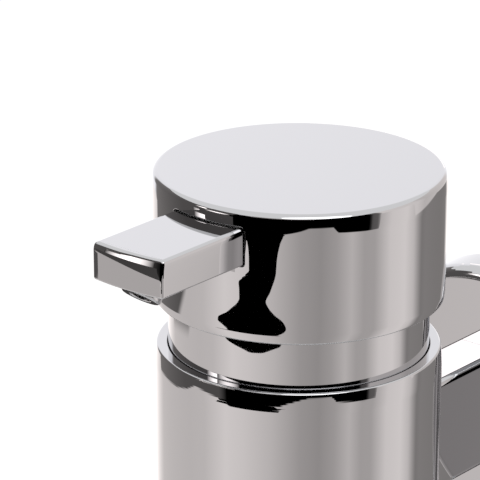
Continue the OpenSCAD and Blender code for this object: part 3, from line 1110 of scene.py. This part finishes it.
@dataclass(frozen=True)
class Card:
    """Upright card, bent round the object, which only mirrors see.

    Its rows go from its foot to its top. Each has a height, and the degrees from the camera's direction to
    the card's left and right side, to the right positive. A soft card fades towards both sides.
    """

    name: str
    level: float
    rows: tuple[tuple[float, float, float], ...]
    radius: float = 0.68
    columns: int = 24
    soft: bool = False
    between: int = 6

    def smooth_rows(self) -> list[Vector]:
        """Rounds both sides between the rows, without going past them.

        Returns:
            The rows and those between them, as vectors of height, left and right side.
        """
        knots = [Vector(row) for row in self.rows]
        slopes = [(end - start) / (end.x - start.x) for start, end in zip(knots, knots[1:])]
        bends = [
            Vector([2 * a * b / (a + b) if a * b > 0 else 0.0 for a, b in zip(*pair)])
            for pair in zip(slopes, slopes[1:])
        ]
        tangents = [slopes[0], *bends, slopes[-1]]
        smooth = knots[:1]
        for number, (start, end) in enumerate(zip(knots, knots[1:])):
            third = (end.x - start.x) / 3
            first, second = start + tangents[number] * third, end - tangents[number + 1] * third
            smooth += interpolate_bezier(start, first, second, end, self.between + 2)[1:]
        return smooth


@dataclass(frozen=True)
class Lamp:
    """Soft round lamp: its place from the body's axis, its width and power, and whether mirrors show it."""

    name: str
    place: tuple[float, float, float]
    width: float
    power: float
    mirrored: bool


@dataclass
class Studio:
    """Camera, floor, light and the tent that the steel mirrors."""

    azimuth: float = 39.7
    elevation: float = 20.1
    distance: float = 628.4 * MM
    lens: float = 228.1
    sensor: float = 36.0
    clip: tuple[float, float] = (0.01, 50.0)
    aim_height: float = 57.0 * MM
    aim_side: float = -12.26 * MM
    floor_height: float = -0.75
    floor_half: float = 20.0
    tent_radius: float = 0.7
    tent_top: float = 0.5
    tent_columns: int = 180
    ambient: float = 0.55
    floor_lift: float = 0.55
    # Casts of the tent's cloth: cool over the horizon line from this many degrees on, else warm
    warm: tuple[float, float, float] = (1.38, 1.294, 1.26)
    cool: tuple[float, float, float] = (1.293, 1.283, 1.318)
    cool_from: float = 149
    # Half the height in which the lower walls pass into the upper ones
    blur: float = 0.006
    line_span: tuple[float, float] = (-0.25, 0.25)

    # Brightness of the tent's lower walls, by degrees from the camera's direction
    lower_walls: ClassVar[tuple[tuple[float, float], ...]] = (
        (-180, 1.0), (-158, 0.95), (-138, 0.6), (-96, 0.57), (-80, 0.59), (-60, 0.75), (-45, 0.7),
        (-22, 0.57), (0, 0.38), (15, 0.33), (27, 0.4), (39, 0.55), (49, 0.42), (58, 0.43), (72, 0.7),
        (87, 0.75), (96.5, 0.6), (101.5, 0.39), (106.3, 0.222), (112, 0.24), (140, 0.2), (152, 0.2),
        (162, 0.9), (180, 1.0),
    )
    # Over the horizon line the front is open to a dark room
    upper_walls: ClassVar[tuple[tuple[float, float], ...]] = (
        (-180, 0.92), (-173, 0.945), (-150, 0.92), (-144, 0.18), (-120, 0.13), (-100, 0.09), (-64, 0.08),
        (-58, 0.0), (53, 0.0), (55, 0.1), (60, 0.12), (63, 0.7), (98, 0.68), (108, 0.55), (149, 0.65),
        (156, 0.9), (174, 0.9), (180, 0.92),
    )
    # Height of the horizon line
    horizon: ClassVar[tuple[tuple[float, float], ...]] = (
        (-180, -0.15), (-146, -0.15), (-142, -0.23), (-112, -0.23), (-98, -0.205), (-88, -0.165),
        (-62, -0.18), (-16, -0.165), (0, -0.11), (6, -0.085), (24, -0.085), (28, -0.14), (34, -0.148),
        (50, -0.162), (61, -0.16), (63, 0.1), (90, 0.1), (97, -0.14), (128, -0.097), (150, -0.12),
        (180, -0.15),
    )
    # The key lamp stays out of the mirrors, where it would draw hard lines along the rims
    lamps: ClassVar[tuple[Lamp, ...]] = (
        Lamp("key", (-0.55, -0.5, 0.9), 0.8, 9.0, mirrored=False),
        Lamp("fill", (0.7, -0.5, 0.9), 1.0, 4.0, mirrored=True),
    )
    # Each piece mirrors another height of a near card, so such a card shows on one piece or two alone
    cards: ClassVar[tuple[Card, ...]] = (
        Card(
            "spout_light", 0.65,
            (
                (0.034, -73, -44), (0.0478, -73, -44), (0.05, -73, -53), (0.0513, -73, -57),
                (0.0535, -73, -63), (0.0545, -73, -69),
            ),
            radius=0.098,
        ),
        Card("spout_shade", 0.08, ((0.0435, -71.5, -46), (0.0655, -71.5, -46)), radius=0.1),
        Card("spout_streak", 2.6, ((0.066, -67, -47), (0.0775, -67, -47)), radius=0.1, soft=True),
        Card("spout_edge", 0.12, ((0.0785, -67, -45), (0.125, -67, -45)), radius=0.1),
        Card("front_top", 0.4, ((0.36, -40, 10), (0.52, -40, 10)), radius=0.66),
        Card("soft_box", 3.4, ((0.22, -87, -65), (0.34, -87, -65)), soft=True),
        Card("upper_box", 1.7, ((-0.085, -88, -70), (-0.05, -88, -70)), soft=True),
        Card("arm_light", 1.9, ((0.082, 155, 178), (0.108, 155, 178)), radius=0.25),
        Card("dark_foot", 0.06, ((-0.74, -200, -140), (-0.37, -200, -140))),
        Card(
            "black_flag", 0.0,
            (
                (-0.0494, -43, -40), (-0.0489, -48, -31), (-0.0483, -56, -27), (-0.0475, -63, -22.5),
                (-0.0463, -66, -16), (-0.0438, -63, -14), (-0.0424, -57, -18), (-0.0416, -55, -20),
                (-0.0405, -58.7, -16), (-0.0394, -63.3, -11.5),
                (-0.0385, -63, -10.3), (-0.0375, -60.5, -11), (-0.0363, -56, -13.1), (-0.0346, -51.8, -18.8),
                (-0.0325, -47, -23.5), (-0.031, -45.4, -25.1), (-0.0283, -45.5, -22.2),
                (-0.0262, -45.9, -20.4), (-0.0235, -40, -18.3), (-0.0223, -37.9, -17.8),
                (-0.0183, -38, -17.1), (-0.0139, -39.3, -15), (-0.0109, -46, -12.1), (-0.0095, -48, -11.5),
                (0.0067, -50, -15.5),
            ),
            radius=0.25,
        ),
    )

    def build(self) -> None:
        """Sets up the studio."""
        self.build_camera()
        self.build_world()
        self.build_floor()
        self.build_tent()
        self.build_lamps()

    def back(self) -> Vector:
        """Gives the direction from the object to the camera."""
        turn, rise = math.radians(self.azimuth), math.radians(self.elevation)
        return Vector((math.sin(turn) * math.cos(rise), -math.cos(turn) * math.cos(rise), math.sin(rise)))

    def build_camera(self) -> None:
        """Makes the camera at the photograph's viewing angle."""
        turn = math.radians(self.azimuth)
        right = Vector((math.cos(turn), math.sin(turn), 0))
        aim = body_axis() + Vector((0, 0, self.aim_height)) + right * self.aim_side
        data = bpy.data.cameras.new("camera")
        data.lens, data.sensor_width = self.lens, self.sensor
        data.clip_start, data.clip_end = self.clip
        camera = bpy.data.objects.new("camera", data)
        camera.location = aim + self.back() * self.distance
        camera.rotation_euler = self.back().to_track_quat("Z", "Y").to_euler()
        bpy.context.scene.collection.objects.link(camera)
        bpy.context.scene.camera = camera
        bpy.context.scene.view_settings.view_transform = "Standard"

    def build_world(self) -> None:
        """Makes a white background and a soft ambient light."""
        world = bpy.data.worlds.new("studio")
        tree = empty_tree(world)
        path = add_node(tree, "ShaderNodeLightPath")
        mirror = add_node(
            tree,
            "ShaderNodeMath",
            settings={"operation": "MAXIMUM"},
            inputs={0: path.outputs["Is Glossy Ray"], 1: path.outputs["Is Transmission Ray"]},
        )
        seen = add_node(
            tree,
            "ShaderNodeMath",
            settings={"operation": "MAXIMUM"},
            inputs={0: path.outputs["Is Camera Ray"], 1: mirror.outputs["Value"]},
        )
        strength = add_node(
            tree,
            "ShaderNodeMapRange",
            inputs={"Value": seen.outputs["Value"], "To Min": self.ambient, "To Max": 1.0},
        )
        light = add_node(
            tree,
            "ShaderNodeBackground",
            inputs={"Color": linear("#FFFFFF"), "Strength": strength.outputs["Result"]},
        )
        add_node(tree, "ShaderNodeOutputWorld", inputs={"Surface": light.outputs["Background"]})
        bpy.context.scene.world = world

    def build_floor(self) -> None:
        """Makes the pale floor, white to the camera where nothing shades it."""
        material = bpy.data.materials.new("pale_floor")
        tree = empty_tree(material)
        path = add_node(tree, "ShaderNodeLightPath")
        matt = add_node(tree, "ShaderNodeBsdfDiffuse", inputs={"Color": linear("#EDEDED")})
        lift = add_node(
            tree,
            "ShaderNodeMath",
            settings={"operation": "MULTIPLY"},
            inputs={0: path.outputs["Is Camera Ray"], 1: self.floor_lift},
        )
        glow = add_node(
            tree, "ShaderNodeEmission", inputs={"Color": linear("#FFFFFF"), "Strength": lift.outputs["Value"]}
        )
        both = add_node(
            tree, "ShaderNodeAddShader", inputs={0: matt.outputs["BSDF"], 1: glow.outputs["Emission"]}
        )
        add_node(tree, "ShaderNodeOutputMaterial", inputs={"Surface": both.outputs["Shader"]})
        bm = bmesh.new()
        bmesh.ops.create_grid(bm, x_segments=1, y_segments=1, size=self.floor_half)
        bmesh.ops.translate(bm, vec=(0, 0, self.floor_height), verts=bm.verts[:])
        floor = loose_object(bm, "floor")
        floor.data.materials.append(material)

    def sheet(self, card: Card) -> bpy.types.Object:
        """Bends a card round the object.

        Args:
            card: its rows and radius.

        Returns:
            The card, seen by mirrors alone.
        """
        rows = card.smooth_rows()
        last, axis = len(rows) - 1, body_axis()
        bm = bmesh.new()
        bmesh.ops.create_grid(bm, x_segments=card.columns, y_segments=last, size=0.5)
        glow = bm.verts.layers.float.new("glow")
        for vert in bm.verts:
            vert[glow] = card.level * math.cos(math.pi * vert.co.x) if card.soft else card.level
            z, left, right = rows[round((vert.co.y + 0.5) * last)]
            turn = math.radians(self.azimuth - 90 + left + (right - left) * (vert.co.x + 0.5))
            vert.co = axis + Vector((card.radius * math.cos(turn), card.radius * math.sin(turn), z))
        made = loose_object(bm, card.name)
        made.visible_camera = made.visible_diffuse = made.visible_shadow = False
        made.visible_transmission = made.visible_volume_scatter = False
        return made

    def card_glow(self) -> bpy.types.Material:
        """Makes the glow of the cards, as strong as each card says.

        Returns:
            The material.
        """
        material = bpy.data.materials.new("card_glow")
        tree = empty_tree(material)
        level = add_node(tree, "ShaderNodeAttribute", settings={"attribute_name": "glow"})
        light = add_node(
            tree, "ShaderNodeEmission", inputs={"Color": linear("#FFF8F5"), "Strength": level.outputs["Fac"]}
        )
        add_node(tree, "ShaderNodeOutputMaterial", inputs={"Surface": light.outputs["Emission"]})
        return material

    def tent_cloth(self) -> bpy.types.Material:
        """Makes the cloth of the tent, whose brightness changes round the object and with height.

        Returns:
            The material.
        """
        material = bpy.data.materials.new("tent_cloth")
        tree = empty_tree(material)
        place = add_node(tree, "ShaderNodeTexCoord").outputs["Object"]
        centred = add_node(
            tree,
            "ShaderNodeVectorMath",
            settings={"operation": "SUBTRACT"},
            inputs={0: place, 1: body_axis()},
        )
        turned = add_node(
            tree,
            "ShaderNodeMapping",
            inputs={
                "Vector": centred.outputs["Vector"],
                "Rotation": (0.0, 0.0, math.radians(90 - self.azimuth)),
            },
        )
        around = add_node(
            tree,
            "ShaderNodeTexGradient",
            settings={"gradient_type": "RADIAL"},
            inputs={"Vector": turned.outputs["Vector"]},
        )
        height = add_node(tree, "ShaderNodeSeparateXYZ", inputs={"Vector": place}).outputs["Z"]
        low, high = self.line_span
        casts = [self.cool if abs(turn) > self.cool_from else self.warm for turn, _ in self.upper_walls]
        rings = (
            [(turn, [level * c for c in self.warm]) for turn, level in self.lower_walls],
            [(turn, [level * c for c in cast]) for (turn, level), cast in zip(self.upper_walls, casts)],
            [(turn, [(z - low) / (high - low)] * 3) for turn, z in self.horizon],
        )
        lower, upper, line = (
            add_node(
                tree,
                "ShaderNodeValToRGB",
                inputs={"Fac": around.outputs["Fac"]},
                stops=[(turn / 360 + 0.5, (*colour, 1.0)) for turn, colour in ring],
            ).outputs["Color"]
            for ring in rings
        )
        level = add_node(tree, "ShaderNodeMapRange", inputs={"Value": line, "To Min": low, "To Max": high})
        over = add_node(
            tree,
            "ShaderNodeMath",
            settings={"operation": "SUBTRACT"},
            inputs={0: height, 1: level.outputs["Result"]},
        )
        rise = add_node(
            tree,
            "ShaderNodeMapRange",
            settings={"interpolation_type": "SMOOTHSTEP"},
            inputs={"Value": over.outputs["Value"], "From Min": -self.blur, "From Max": self.blur},
        )
        colour = add_node(
            tree,
            "ShaderNodeMix",
            settings={"data_type": "RGBA"},
            inputs={MIX_FACTOR: rise.outputs["Result"], MIX_FIRST: lower, MIX_SECOND: upper},
        ).outputs[MIX_RESULT]
        light = add_node(tree, "ShaderNodeEmission", inputs={"Color": colour, "Strength": 1.0})
        add_node(tree, "ShaderNodeOutputMaterial", inputs={"Surface": light.outputs["Emission"]})
        return material

    def build_tent(self) -> None:
        """Makes the tent and its cards."""
        ends = tuple((z, -180.0, 180.0) for z in (self.floor_height, self.tent_top))
        walls = Card("light_tent", 1.0, ends, radius=self.tent_radius, columns=self.tent_columns)
        self.sheet(walls).data.materials.append(self.tent_cloth())
        glow = self.card_glow()
        for card in self.cards:
            self.sheet(card).data.materials.append(glow)

    def build_lamps(self) -> None:
        """Makes two soft lamps, left and right above the object."""
        for lamp in self.lamps:
            data = bpy.data.lights.new(lamp.name, "AREA")
            data.shape, data.size, data.energy = "DISK", lamp.width, lamp.power
            made = bpy.data.objects.new(lamp.name, data)
            place = Vector(lamp.place)
            made.location = body_axis() + place
            made.rotation_euler = place.to_track_quat("Z", "Y").to_euler()
            made.visible_glossy = lamp.mirrored
            bpy.context.scene.collection.objects.link(made)


def dress_nodes() -> None:
    """Gives every node that still shows the finish of its slot."""
    slots = {part["node"]: part["material_slot"] for part in frame["record"]["subparts"]}
    for name, node in frame["nodes"].items():
        if node.hide_render:
            continue
        finish = FINISHES[slots[name]].material()
        for number in range(len(node.material_slots)):
            node.material_slots[number].material = finish
        if not node.material_slots:
            node.data.materials.append(finish)
        LOG.info("%s keeps its shape, in %s", name, finish.name)


def main() -> None:
    """Builds the dispenser and its studio."""
    logging.basicConfig(level=logging.INFO)
    for part in (Studio(), Reservoir(), WallMount(), PumpUnit(), PumpHead()):
        LOG.info("%s", type(part).__name__)
        part.build()
    dress_nodes()


if __name__ == "__main__":
    main()
